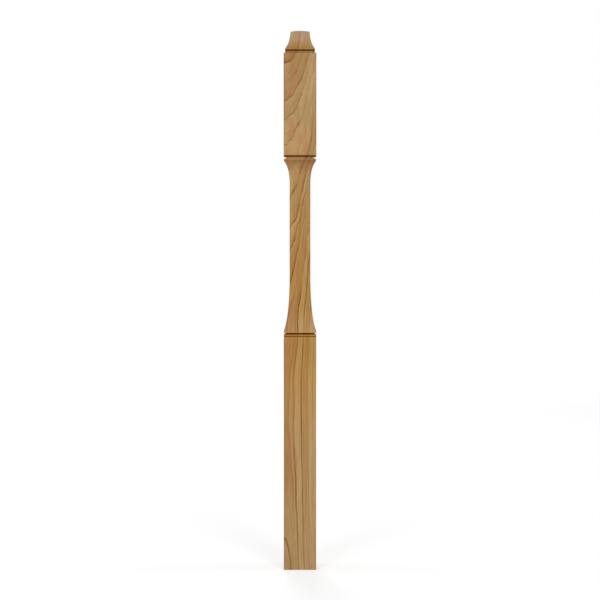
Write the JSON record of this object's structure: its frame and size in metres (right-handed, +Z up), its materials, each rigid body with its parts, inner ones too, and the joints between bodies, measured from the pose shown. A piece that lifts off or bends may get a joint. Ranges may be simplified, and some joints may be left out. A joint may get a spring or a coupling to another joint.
{
  "type": "landing newel post",
  "caption": "Square wooden landing newel post: plain lower block, slender flared shaft, upper block to take the handrails, and a swept square cap with a slightly domed top.",
  "frame": {"origin": "centre of the flat underside of the lower block, where the post stands on the floor", "axes": "+Z up along the post; +X and +Y square to its faces; the face in the picture looks along -Y"},
  "size_m": [0.0826, 0.0826, 1.3716],
  "materials": {
    "hardwood": "clear golden tan hardwood, sanded, satin"
  },
  "bodies": {
    "root": {"newel_post": "hardwood"}
  },
  "joints": []
}
